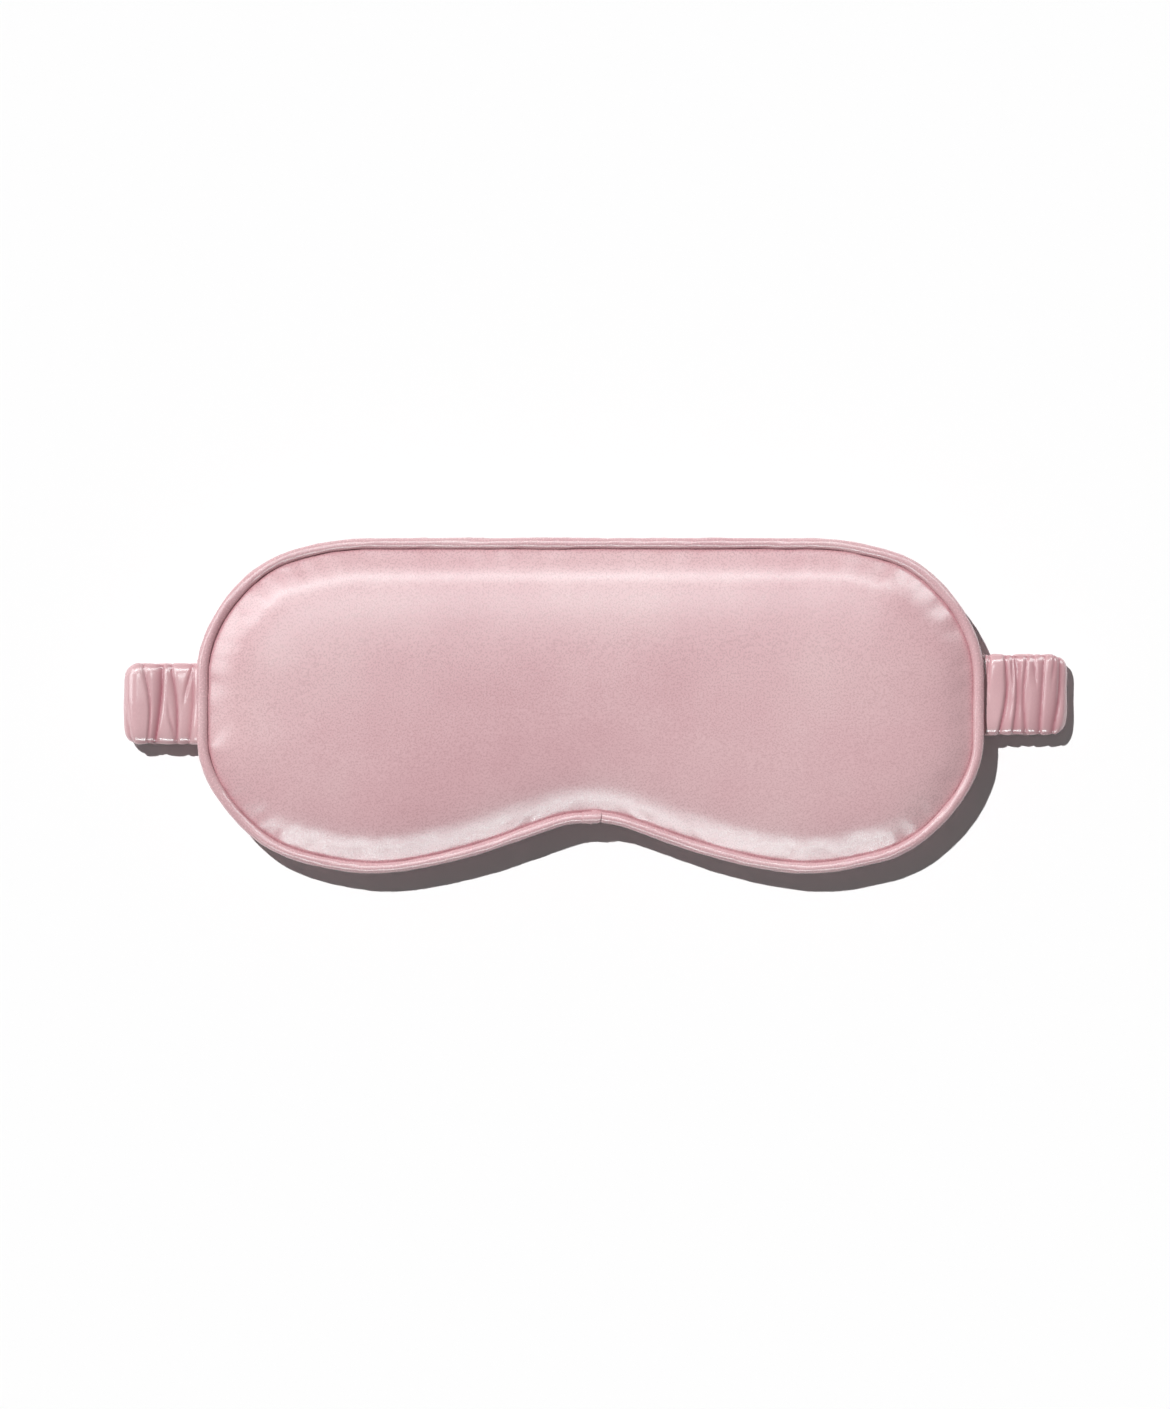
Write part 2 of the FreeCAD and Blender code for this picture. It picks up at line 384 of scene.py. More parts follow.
# ---- Padded body ------------------------------------------------------------------------------
# Two satin panels are sewn round their edge over two thin pads of wadding, with blackout cloth
# between. The edge seam draws the satin in a little, which puckers it beside the piping. A cloth
# simulation under light pressure shapes the puckers.
RIM_INSET = 2.1 * MM
FRONT_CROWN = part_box("front_panel_left")[1].z - SEAM_Z
BACK_CROWN = SEAM_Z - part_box("back_panel_left")[0].z
DOME_STEPS = [0.4, 1.0, 1.8, 2.8, 4.0, 5.5, 7.2, 9.2, 11.5, 14.0, 17.0, 20.5]
DOME_REACH = 6.6                              # mm over which the dome rises by two thirds
DOME_START = 0.98                             # share of the crown that the stepped dome reaches
CROWN_REACH = 39 * MM                         # from the edge to the dome's highest part
CROWN_SHARE = 0.2                             # of the rise is this slow swell
SEAM_REACH = 1.5 * MM                         # the seam's own shape gives way to the dome over this
PUCKER_FROM = 1 * MM                          # the puckers lie between these distances from the edge
PUCKER_TO = 6 * MM
PUCKER_COUNT = 52
PUCKER_BACK = 0.8                             # size of those on the back against the front
PUCKER_SEEN = 0.2 * MM
PUCKER_CUT = 0.7 * MM                         # slack cut into the cloth
PIN_REACH = 1.2 * MM                          # the seam holds the cloth this far in
PAD_VOXEL = 1.5 * MM
PAD_SCALE = 12                                # the cloth is simulated this many times larger
PAD_FRAMES = 18
PAD_PRESSURE = 0.7
PAD_CAP = 1.0 * MM                            # how far the slack satin may move beside the seam
SLACK_REACH = 6.5 * MM                        # further in, the wadding holds it


def padded_start():
    """Closed pad: both domes are stepped in from the same edge ring."""
    bm = bmesh.new()
    ring = [bm.verts.new((x, y, SEAM_Z)) for x, y in outline_at(RIM_INSET, 360)]
    for corners, crown_height in ((ring, FRONT_CROWN), (list(reversed(ring)), BACK_CROWN)):
        crown = bm.faces.new(corners)
        crown.normal_update()
        reach, rise = 0.0, 0.0
        for inset in DOME_STEPS:
            height = crown_height * DOME_START * (1 - math.exp(-inset / DOME_REACH))
            bmesh.ops.inset_region(bm, faces=[crown], thickness=(inset - reach) * MM,
                                   depth=height - rise, use_boundary=True, use_even_offset=True)
            reach, rise = inset, height
    bmesh.ops.triangulate(bm, faces=[f for f in bm.faces if len(f.verts) > 4])
    return bm


def edge_distance(co):
    """How far each point lies inside the pad's edge ring, seen from the front, and where along it."""
    ring = outline_at(RIM_INSET)
    flat = co[:, :2]
    best = np.full(len(flat), 1e9)
    mark = np.zeros(len(flat))
    for i in range(0, len(ring), 2):
        away = np.hypot(flat[:, 0] - ring[i, 0], flat[:, 1] - ring[i, 1])
        closer = away < best
        best[closer] = away[closer]
        mark[closer] = i / len(ring)
    return best, mark


def pucker_wave(mark, seed, count):
    """Uneven ripples along the seam, from -1 to 1."""
    rng = random.Random(seed)
    wave = np.zeros_like(mark)
    for k in range(7):
        turns = round(count * (0.6 + 0.15 * k + 0.1 * rng.random()))
        wave += rng.uniform(0.5, 1) * np.sin(2 * math.pi * (turns * mark + rng.random()))
    return wave / 2.6


def inflate(obj, frames, pressure, rest_co, pins, seed_co):
    """Cloth blown up from the inside: start at seed_co, with the rest lengths of rest_co."""
    mesh = obj.data
    set_coordinates(mesh, seed_co * PAD_SCALE)
    obj.shape_key_add(name="Basis")
    cut = obj.shape_key_add(name="cut")
    cut.data.foreach_set("co", (rest_co * PAD_SCALE).ravel())
    group = obj.vertex_groups.new(name="seam")
    for i in np.nonzero(pins > 0)[0]:
        group.add([int(i)], float(pins[i]), "REPLACE")
    cloth = obj.modifiers.new("cloth", "CLOTH")
    s = cloth.settings
    s.quality = 6
    s.mass = 0.3
    s.tension_stiffness = s.compression_stiffness = 18
    s.shear_stiffness = 8
    s.bending_stiffness = 0.6
    s.tension_damping = s.compression_damping = 12
    s.air_damping = 2
    s.use_pressure = True
    s.uniform_pressure_force = pressure
    s.vertex_group_mass = "seam"
    s.rest_shape_key = cut
    s.effector_weights.gravity = 0
    cloth.collision_settings.use_collision = False
    cloth.point_cache.frame_start, cloth.point_cache.frame_end = 1, frames
    for f in range(1, frames + 1):
        bpy.context.scene.frame_set(f)
    settled = finished_mesh(obj)
    bpy.context.scene.frame_set(1)
    co = coordinates(settled) / PAD_SCALE
    obj.modifiers.clear()
    obj.shape_key_clear()
    return co


def padded_body():
    """The whole stuffed pad, front and back, in the shape that its panels and wadding share."""
    start = bpy.data.meshes.new("pad")
    bm = padded_start()
    bm.to_mesh(start)
    bm.free()
    obj = bpy.data.objects.new("pad", start)
    bpy.context.collection.objects.link(obj)
    remesh = obj.modifiers.new("remesh", "REMESH")
    remesh.mode = "VOXEL"
    remesh.voxel_size = PAD_VOXEL
    even = finished_mesh(obj)
    obj.modifiers.clear()
    obj.data = even
    co = coordinates(even)
    depth, mark = edge_distance(co)
    size_by_side = np.where(co[:, 2] > SEAM_Z, 1.0, PUCKER_BACK)
    crown = np.where(co[:, 2] > SEAM_Z, FRONT_CROWN, -BACK_CROWN)
    middle = np.sin(np.clip(depth / CROWN_REACH, 0, 1) * math.pi / 2)
    rise = (1 - CROWN_SHARE) * (1 - np.exp(-depth / (DOME_REACH * MM))) + CROWN_SHARE * middle
    inner = np.clip(depth / SEAM_REACH, 0, 1)
    co[:, 2] = co[:, 2] * (1 - inner) + (SEAM_Z + crown * rise) * inner
    band = np.clip(1 - depth / PUCKER_TO, 0, 1) * np.clip(depth / PUCKER_FROM, 0, 1)
    wave = pucker_wave(mark, 5, PUCKER_COUNT)
    lift = np.sign(co[:, 2] - SEAM_Z)[:, None] * np.array([[0, 0, 1.0]])
    seeded = co + lift * (wave * band * size_by_side * PUCKER_SEEN)[:, None]
    cut = co + lift * (wave * band * size_by_side * PUCKER_CUT)[:, None]
    pins = np.clip(1.4 - depth / PIN_REACH, 0, 1)
    settled = inflate(obj, PAD_FRAMES, PAD_PRESSURE, cut, pins, seeded)
    step = settled - co
    size = np.linalg.norm(step, axis=1)
    held = np.exp(-(depth / SLACK_REACH) ** 2) * PAD_CAP
    step *= (held * np.tanh(size / PAD_CAP) / np.maximum(size, 1e-9))[:, None]
    seeded = co + step
    set_coordinates(even, seeded)
    # Painted shade: the satin is painted deep rose within about a millimetre of the seam, where the groove
    # beside the piping lies in shade.
    mark_painted_crease_shade(even, 0.85 * np.exp(-(depth / (1.3 * MM)) ** 2))
    return obj


pad = padded_body()


def pad_part(name, keep_front, material, shrink=0.0, closed=False):
    """One side of the pad, cut at the seam's height, moved inside itself by shrink."""
    bm = bmesh.new()
    bm.from_mesh(pad.data)
    if shrink:
        bm.normal_update()
        for v in bm.verts:
            v.co -= v.normal * shrink
    up = 1 if keep_front else -1
    level = SEAM_Z + up * (LINER_HIGH.z - SEAM_Z + 0.05 * MM if closed else 0)
    everything = bm.verts[:] + bm.edges[:] + bm.faces[:]
    cut = bmesh.ops.bisect_plane(bm, geom=everything, plane_co=(0, 0, level),
                                 plane_no=(0, 0, -up), clear_outer=True)
    if closed:
        rim = [e for e in cut["geom_cut"] if isinstance(e, bmesh.types.BMEdge)]
        bmesh.ops.holes_fill(bm, edges=rim)
    return piece_from(name, bm, material)


def bend_at_nose(piece):
    """Bakes the piece's placement into its mesh; nothing here makes it bend over the nose."""
    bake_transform(piece)


# Both panels take the painted crease shade, which darkens them in the groove by the seam.
front_satin = paint_crease_shade(satin("front_satin", gloss=0.27))
for name, keep_front, kind in (("front_panel", True, front_satin),
                               ("back_panel", False, paint_crease_shade(satin("back_satin", gloss=0.33)))):
    panel = pad_part(name, keep_front, kind)
    wall = panel.modifiers.new("cloth_thickness", "SOLIDIFY")
    wall.thickness = 0.3 * MM
    wall.offset = -1
    smooth = panel.modifiers.new("smooth", "SUBSURF")
    smooth.levels = smooth.render_levels = 1
    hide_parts(name + "_left", name + "_right")
    bend_at_nose(panel)


# ---- Wadding and blackout cloth ---------------------------------------------------------------
# Inside, two pads of bonded polyester wadding fill the domes, one each side of a sheet of black
# woven cloth that stops the light. All three are caught in the edge seam.
def cloth_material(name, colour, roughness, scale, relief, contrast=0.12):
    """Matt cloth or wadding: noise breaks up its colour and raises its surface."""
    m = bpy.data.materials.new(name)
    m.use_nodes = True
    nodes, link = m.node_tree.nodes, m.node_tree.links.new
    shader = nodes["Principled BSDF"]
    place = nodes.new("ShaderNodeTexCoord")
    grain = nodes.new("ShaderNodeTexNoise")
    grain.inputs["Scale"].default_value = scale
    grain.inputs["Detail"].default_value = 4
    link(place.outputs["Object"], grain.inputs["Vector"])
    tone = nodes.new("ShaderNodeMapRange")
    tone.inputs["To Min"].default_value = 1 - contrast
    tone.inputs["To Max"].default_value = 1 + contrast
    link(grain.outputs["Fac"], tone.inputs["Value"])
    mix = nodes.new("ShaderNodeMix")
    mix.data_type = "RGBA"
    mix.blend_type = "MULTIPLY"
    mix.inputs["Factor"].default_value = 1
    mix.inputs["A"].default_value = (*colour, 1)
    link(tone.outputs["Result"], mix.inputs["B"])
    bump = nodes.new("ShaderNodeBump")
    bump.inputs["Distance"].default_value = relief
    link(grain.outputs["Fac"], bump.inputs["Height"])
    link(mix.outputs["Result"], shader.inputs["Base Color"])
    link(bump.outputs["Normal"], shader.inputs["Normal"])
    shader.inputs["Roughness"].default_value = roughness
    shader.inputs["Sheen Weight"].default_value = 0.2
    return m


wadding_white = cloth_material("wadding_white", (0.86, 0.85, 0.82), 0.95, 700, 0.3 * MM)
PAD_SHRINK = 0.55 * MM
for name, keep_front in (("front_wadding", True), ("back_wadding", False)):
    wadding = pad_part(name, keep_front, wadding_white, shrink=PAD_SHRINK, closed=True)
    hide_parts(name + "_left", name + "_right")
    bend_at_nose(wadding)
bpy.data.objects.remove(pad)

LINER_THICK = LINER_HIGH.z - LINER_LOW.z
liner_bm = bmesh.new()
liner_ring = [liner_bm.verts.new((x, y, LINER_LOW.z)) for x, y in outline_at(LINER_INSET + 0.6 * MM, 300)]
liner_bm.faces.new(liner_ring)
for cut in range(-24, 25):
    everything = liner_bm.verts[:] + liner_bm.edges[:] + liner_bm.faces[:]
    bmesh.ops.bisect_plane(liner_bm, geom=everything, plane_co=(cut * MM, 0, 0), plane_no=(1, 0, 0))
bmesh.ops.solidify(liner_bm, geom=liner_bm.faces[:], thickness=-LINER_THICK)
bmesh.ops.recalc_face_normals(liner_bm, faces=liner_bm.faces[:])
blackout_cloth = cloth_material("blackout_cloth", (0.012, 0.012, 0.014), 0.85, 2500, 0.05 * MM, 0.4)
liner = piece_from("blackout_liner", liner_bm, blackout_cloth, smooth=False)
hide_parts("blackout_liner_left", "blackout_liner_right")
bend_at_nose(liner)


# ---- Piping -----------------------------------------------------------------------------------
# A bias strip of the same satin is folded round a cotton cord and sewn into the edge. Pulled
# round the curves it twists in fine slanting wrinkles. Its two ends meet at the notch for the
# nose, where one is lapped over the other.
def straight_tube(length, radius, rings, sides, caps=True):
    """Tube along +X from 0, cut into rings, ready to be laid along a line."""
    bm = bmesh.new()
    turn = Matrix.Translation((length / 2, 0, 0)) @ Matrix.Rotation(math.pi / 2, 4, "Y")
    bmesh.ops.create_cone(bm, cap_ends=caps, segments=sides, radius1=radius, radius2=radius,
                          depth=length, matrix=turn)
    lengthways = [e for e in bm.edges if abs(e.verts[0].co.x - e.verts[1].co.x) > length / 2]
    bmesh.ops.subdivide_edges(bm, edges=lengthways, cuts=rings - 1)
    return bm


def mark_strip(mesh, radius):
    """Stores each point's place on the flat strip, along and round the tube, for the weave."""
    co = coordinates(mesh)
    strip = np.column_stack([co[:, 0], np.arctan2(co[:, 2], co[:, 1]) * radius, np.zeros(len(co))])
    layer = mesh.attributes.new("strip", "FLOAT_VECTOR", "POINT")
    layer.data.foreach_set("vector", strip.astype(np.float32).ravel())


class Line:
    """A line by arc length: its points, its direction, and the side direction that goes with it."""

    def __init__(self, points, side=None):
        self.points = np.array(points, float)
        steps = np.linalg.norm(np.diff(self.points, axis=0), axis=1)
        self.along = np.concatenate([[0], np.cumsum(steps)])
        self.length = self.along[-1]
        self.way = np.gradient(self.points, self.along, axis=0)
        self.way /= np.linalg.norm(self.way, axis=1)[:, None]
        self.side = side

    def read(self, table, s):
        return np.column_stack([np.interp(s, self.along, table[:, k]) for k in range(3)])

    def lay(self, mesh):
        """Moves a straight piece, made along +X, onto the line."""
        co = coordinates(mesh)
        s = co[:, 0]
        way = self.read(self.way, s)
        way /= np.linalg.norm(way, axis=1)[:, None]
        if self.side is None:
            across = np.cross([0, 0, 1.0], way)
            up = np.broadcast_to([0, 0, 1.0], way.shape)
        else:
            across = np.broadcast_to(self.side, way.shape)
            up = np.cross(way, across)
        over = np.clip(s - self.length, 0, None) + np.clip(s, None, 0)
        placed = self.read(self.points, s) + way * over[:, None]
        set_coordinates(mesh, placed + across * co[:, 1:2] + up * co[:, 2:3])


def line_round(inset, height, start_at):
    """Open line once round the mask, from the notch for the nose back to it."""
    ring = outline_at(inset)
    first = int(np.argmin(np.hypot(ring[:, 0] - start_at, np.clip(ring[:, 1], 0, None) * 9)))
    ring = np.roll(ring, -first, 0)
    closed = np.vstack([ring, ring[:1]])
    return Line(np.column_stack([closed, np.full(len(closed), height)]))


PIPING_R *= 0.88                              # the strip pulls tighter on its cord than the cut tube
piping_line = line_round(PIPING_R, PIPING_Z, 0.0)
PIPING_SIDES = 18
TUCK_LENGTH = 4.5 * MM                        # each end of the strip turns into the seam over this
piping_bm = straight_tube(piping_line.length, PIPING_R, 1400, PIPING_SIDES, caps=False)
piping = piece_from("piping_cover", piping_bm, satin("piping_satin", "strip", gloss=0.22, relief=0.000006))
mark_strip(piping.data, PIPING_R)
co = coordinates(piping.data)
round_angle = np.arctan2(co[:, 2], co[:, 1])
for i, (s, turn) in enumerate(zip(co[:, 0], round_angle)):
    twist = noise.noise((s * 95 + turn * 0.55, turn * 0.35, 3.1)) * 0.45
    slow = noise.noise((s * 30, 7.7, 0.5)) * 0.35
    pinch = noise.noise((s * 420 + turn * 1.9, math.cos(turn) * 0.8, 1.7)) * 0.16
    co[i, 1:] *= 1 + (twist * 0.26 + slow * 0.22 + pinch * 0.45)
    end = min(s, piping_line.length - s)
    tuck = max(0.0, 1 - end / TUCK_LENGTH) ** 2
    lapped = 1 if s < piping_line.length / 2 else -1
    co[i, 1] += (0.9 if lapped > 0 else -0.4) * MM * tuck
    co[i, 2] -= (1.1 if lapped > 0 else 0.2) * MM * tuck
set_coordinates(piping.data, co)
piping_line.lay(piping.data)

# The strip's two edges lie flat together inside the seam.
FLANGE_FROM = 1.7 * MM
FLANGE_TO = LINER_INSET + 0.5 * MM
whole_bm = bmesh.new()
whole_bm.from_mesh(piping.data)
flange_edges = []
for inset in (FLANGE_FROM, FLANGE_TO):
    loop = [whole_bm.verts.new((x, y, SEAM_Z)) for x, y in outline_at(inset)]
    for i, corner in enumerate(loop):
        flange_edges.append(whole_bm.edges.new((corner, loop[(i + 1) % len(loop)])))
bmesh.ops.bridge_loops(whole_bm, edges=flange_edges)
for face in whole_bm.faces:
    face.smooth = True
whole_bm.to_mesh(piping.data)
whole_bm.free()
piping_wall = piping.modifiers.new("cloth_thickness", "SOLIDIFY")
piping_wall.thickness = 0.3 * MM
piping_wall.offset = -1
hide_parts("piping_cover_left", "piping_cover_right")
bend_at_nose(piping)

cotton = cloth_material("cotton_cord", (0.80, 0.76, 0.68), 0.9, 1200, 0.1 * MM)
CORD_R = (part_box("piping_join_cord")[1].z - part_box("piping_join_cord")[0].z) / 2
cord = piece_from("piping_cord", straight_tube(piping_line.length, CORD_R * 0.9, 700, 10), cotton)
piping_line.lay(cord.data)
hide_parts("piping_cord_left", "piping_cord_right", "piping_join_cord")
bend_at_nose(cord)

# The lap at the nose: the upper end's edge is turned under and caught down across the lower one.
JOIN_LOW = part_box("piping_join")[0]
LAP_HALF = 2.6 * MM
LAP_WAY = 4 * MM                              # half of the short line that the lap is laid on
lap_bm = straight_tube(2 * LAP_HALF, PIPING_R * 1.05, 14, PIPING_SIDES, caps=False)
lap = piece_from("piping_lap", lap_bm, satin("lap_satin", "strip", gloss=0.30, relief=0.000012))
mark_strip(lap.data, PIPING_R)
co = coordinates(lap.data)
for i, (s, y, z) in enumerate(co):
    turn = math.atan2(z, y)
    edge = 1 - 0.10 * (abs(s - LAP_HALF) / LAP_HALF) ** 4
    co[i, 1:] *= edge + 0.03 * noise.noise((s * 500, turn, 9.0))
    co[i, 0] += 0.55 * MM * math.sin(turn + 0.6)
set_coordinates(lap.data, co)
lap_y = PIPING_R + JOIN_LOW.y + 0.2 * MM
lap_line = Line([(x, lap_y, PIPING_Z) for x in np.linspace(-LAP_WAY, LAP_WAY, 5)])
set_coordinates(lap.data, coordinates(lap.data) + np.array([LAP_WAY - LAP_HALF, 0, 0]))
lap_line.lay(lap.data)
lap_wall = lap.modifiers.new("cloth_thickness", "SOLIDIFY")
lap_wall.thickness = 0.25 * MM
lap_wall.offset = 0
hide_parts("piping_join")
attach(lap, "nose")

# Closing seam: a row of lock stitches in the groove between the panels and the piping.
thread_pink = cloth_material("thread_pink", (0.60, 0.30, 0.34), 0.6, 4000, 0.03 * MM)
STITCH = 2.6 * MM
STITCH_GAP = 0.5 * MM
THREAD_R = 0.16 * MM
seam_line = line_round(2 * PIPING_R + 0.3 * MM, SEAM_Z, 0.0)
seam_bm = bmesh.new()
stitch_count = int(seam_line.length / STITCH)
for k in range(stitch_count):
    turn = Matrix.Translation(((k + 0.5) * seam_line.length / stitch_count, 0, 0))
    turn = turn @ Matrix.Rotation(math.pi / 2, 4, "Y")
    bmesh.ops.create_cone(seam_bm, cap_ends=True, segments=6, radius1=THREAD_R, radius2=THREAD_R,
                          depth=STITCH - STITCH_GAP, matrix=turn)
seam = piece_from("seam_thread", seam_bm, thread_pink)
seam_line.lay(seam.data)
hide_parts("seam_thread_left", "seam_thread_right")
bend_at_nose(seam)


# ---- Strap: ruched sleeve ---------------------------------------------------------------------
# A satin tube half as long again as the strap is threaded over the elastic and caught at both
# ends, so it gathers into close uneven pleats across the strap. The pleats are formed on a
# straight tube, which is then laid along the strap's way: in at the left seam, round the fold,
# under the mask and back in at the right.
BACK_LOW, BACK_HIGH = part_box("sleeve_back")
END_LOW, END_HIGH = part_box("sleeve_end_left")
RUN_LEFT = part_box("sleeve_run_left")
STRAP_W = BACK_HIGH.y - BACK_LOW.y
STRAP_Y = (BACK_HIGH.y + BACK_LOW.y) / 2
RUN_Z = (BACK_LOW.z + BACK_HIGH.z) / 2
END_Z = (END_LOW.z + END_HIGH.z) / 2
FOLD_Z = (RUN_Z + END_Z) / 2
FOLD_R = (END_Z - RUN_Z) / 2
FOLD_X = -RUN_LEFT[0].x                       # hinge line of each fold, from the middle
END_X = -END_HIGH.x                           # where each end meets the mask's edge
FOLD_SHIFT = {"left": -1.2 * MM, "right": 1.2 * MM}      # the left end is the shorter one
END_Y = {"left": -1.3 * MM, "right": 1.2 * MM}           # and the right end lies higher
TUCKED = 3.5 * MM                             # how far each end runs into its side seam
TUCK_RISE = 1.6 * MM                          # and how much it climbs there


def strap_way():
    """Middle line of the whole strap: left end out to its fold, back run, and the right end in."""
    points = []
    left_fold, right_fold = -(FOLD_X + FOLD_SHIFT["left"]), FOLD_X + FOLD_SHIFT["right"]
    half_turns = [k * math.pi / 24 for k in range(1, 24)]
    left_y, right_y = STRAP_Y + END_Y["left"], STRAP_Y + END_Y["right"]
    for share in np.linspace(0, 1, 24):
        x = -END_X + TUCKED + share * (left_fold + END_X - TUCKED)
        rise = TUCK_RISE * max(0.0, 1 - share * 4) ** 2
        points.append((x, left_y, END_Z + rise))
    for turn in half_turns:
        points.append((left_fold - FOLD_R * math.sin(turn), left_y, FOLD_Z + FOLD_R * math.cos(turn)))
    for share in np.linspace(0, 1, 120):
        x = left_fold + share * (right_fold - left_fold)
        points.append((x, left_y + (right_y - left_y) * (3 * share ** 2 - 2 * share ** 3), RUN_Z))
    for turn in half_turns:
        points.append((right_fold + FOLD_R * math.sin(turn), right_y, FOLD_Z - FOLD_R * math.cos(turn)))
    for share in np.linspace(0, 1, 24):
        x = right_fold + share * (END_X - TUCKED - right_fold)
        rise = TUCK_RISE * max(0.0, share * 4 - 3) ** 2
        points.append((x, right_y, END_Z + rise))
    return Line(points, side=(0, 1, 0))


STRAP = strap_way()
GATHER = 1.5                                  # cut length of the sleeve over the strap's length
PLEAT_HIGH = 1.5 * MM
SLEEVE_FLAT = 0.7 * MM                        # half thickness under the pleats
SLEEVE_RINGS = 2 * round(STRAP.length / (0.6 * MM))
SLEEVE_STEP = STRAP.length / SLEEVE_RINGS
SLEEVE_SIDES = 60
CATCH = 1.6 * MM                              # stretch at each end pressed flat by the seam
FOLD_CORNER = 1.2 * MM                        # how far the corners of each fold are pulled in


def creases(seed, spacing, spread, depth, short):
    """Creases along the whole strap, each with its place, slant, bow, depth, two sides and reach."""
    rng = random.Random(seed)
    place = rng.uniform(0, spacing)
    found = []
    while place < STRAP.length:
        slant, bow, turned = (rng.uniform(-1, 1) * size * MM for size in (1.1, 0.9, 1.5))
        steep, soft = rng.uniform(0.30, 0.5) * MM, rng.uniform(0.9, 2.2) * MM
        if rng.random() < 0.5:
            steep, soft = soft, steep
        edge = rng.choice((-1, 1)) if short else 0
        found.append((place, slant, bow, turned, depth * rng.uniform(0.65, 1), steep, soft, edge))
        place += spacing * (1 + spread * rng.uniform(-1, 1))
    return found


def crease_depth(s, u, over, crease):
    """How deep one crease is at each point: s along, u from edge to edge, over the top or under."""
    place, slant, bow, turned, depth, steep, soft, edge = crease
    away = s - (place + slant * u + bow * (u * u - 0.4) + turned * over * (1 - u * u))
    side = np.where(away < 0, steep, soft)
    cut = depth * np.exp(-np.abs(away) / side)
    if edge:
        cut = cut * np.clip((u * edge + 0.25) / 0.9, 0, 1)
    return cut


def ruched_sleeve():
    """Flat tube with pleats gathered across it, still on a straight strap."""
    bm = straight_tube(STRAP.length, 1.0, SLEEVE_RINGS, SLEEVE_SIDES, caps=False)
    sleeve_satin = satin("sleeve_satin", "strip", gloss=0.18, relief=0.000004, grain=0.35)
    sleeve = piece_from("sleeve", bm, paint_crease_shade(sleeve_satin))
    co = coordinates(sleeve.data)
    s = co[:, 0]
    turn = np.arctan2(co[:, 2], co[:, 1])
    u = np.sin(math.pi / 2 * (1 - 2 * np.abs(turn) / math.pi))
    over = np.sin(turn)
    strip = np.column_stack([s * GATHER, turn * STRAP_W / math.pi, np.zeros(len(co))])
    layer = sleeve.data.attributes.new("strip", "FLOAT_VECTOR", "POINT")
    layer.data.foreach_set("vector", strip.astype(np.float32).ravel())

    deepest = np.zeros(len(co))
    for crease in creases(3, 4.6 * MM, 0.45, 1.0, False):
        deepest = np.maximum(deepest, crease_depth(s, u, over, crease))
    for crease in creases(11, 3.4 * MM, 0.5, 0.75, True):
        deepest = np.maximum(deepest, crease_depth(s, u, over, crease))
    swell = np.array([noise.noise((x * 130, a * 1.3, b * 1.1)) for x, a, b in zip(s, u, over)])
    # Painted shade: the pleats' creases are painted deep rose, more the deeper they are.
    mark_painted_crease_shade(sleeve.data, deepest ** 1.7)
    height = 1 - deepest + 0.16 * swell
    grip = np.clip(np.minimum(s, STRAP.length - s) / CATCH, 0, 1)
    grip = 0.2 + 0.8 * grip * grip * (3 - 2 * grip)

    up = np.sign(turn) * np.sqrt(np.clip(1 - u ** 4, 0, 1))
    out = np.column_stack([np.sign(u) * np.abs(u) ** 5 * 0.7, up])
    out /= np.maximum(np.linalg.norm(out, axis=1), 1e-6)[:, None]
    folds = FOLD_CORNER * fold_share(s) * np.abs(u)
    flat = np.column_stack([u * (STRAP_W / 2 - 0.55 * MM - folds), up * SLEEVE_FLAT])
    flat += out * (PLEAT_HIGH * height * grip * (1 - 0.5 * np.abs(u) ** 8))[:, None]
    set_coordinates(sleeve.data, np.column_stack([s, flat]))
    return sleeve


def fold_share(s):
    """1 at the crown of either fold, and 0 away from them."""
    share = np.zeros(len(s))
    for start, stop in FOLDS.values():
        through = np.clip((s - start) / (stop - start), 0, 1)
        share = np.maximum(share, np.sin(math.pi * through) ** 2)
    return share


def along_strap(x, z):
    """Distance along the strap of its middle line's point nearest to x, z."""
    away = np.hypot(STRAP.points[:, 0] - x, STRAP.points[:, 2] - z)
    return float(STRAP.along[int(np.argmin(away))])


FOLD_AT = {"left": -(FOLD_X + FOLD_SHIFT["left"]), "right": FOLD_X + FOLD_SHIFT["right"]}
FOLDS = {side: sorted((along_strap(x, END_Z), along_strap(x, RUN_Z))) for side, x in FOLD_AT.items()}
SPLIT_X = 80 * MM                             # each end piece is joined to the back run here


def whole_rings(s):
    """The nearest distance along the strap where sleeve and elastic both have a ring."""
    return round(s / (2 * SLEEVE_STEP)) * 2 * SLEEVE_STEP


LEFT_SPLIT, MIDDLE, RIGHT_SPLIT = (whole_rings(along_strap(x, RUN_Z)) for x in (-SPLIT_X, 0, SPLIT_X))
STOPS = {
    "sleeve_end_left": (0, LEFT_SPLIT),
    "sleeve_run_left": (LEFT_SPLIT, MIDDLE),
    "sleeve_run_right": (MIDDLE, RIGHT_SPLIT),
    "sleeve_end_right": (RIGHT_SPLIT, STRAP.length),
}


def stretch_of(whole, name, start, stop):
    """The part of a laid strap layer between two distances along the strap."""
    mesh = whole.data.copy()
    bm = bmesh.new()
    bm.from_mesh(mesh)
    place = bm.verts.layers.float_vector["strip"]
    beyond = [v for v in bm.verts if not start - 0.01 * MM <= v[place].x / GATHER <= stop + 0.01 * MM]
    bmesh.ops.delete(bm, geom=beyond, context="VERTS")
    bm.to_mesh(mesh)
    bm.free()
    piece = bpy.data.objects.new(name, mesh)
    bpy.context.collection.objects.link(piece)
    return piece


def hang_on_strap(piece, part):
    """Bakes the placement of a stretch of the strap into its mesh; nothing here lets it open at its fold
    or bend where the back run lifts.
    """
    if part == "run":
        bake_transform(piece)
        return
    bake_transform(piece)
    strip = np.empty(len(piece.data.vertices) * 3, np.float32)
    piece.data.attributes["strip"].data.foreach_get("vector", strip)


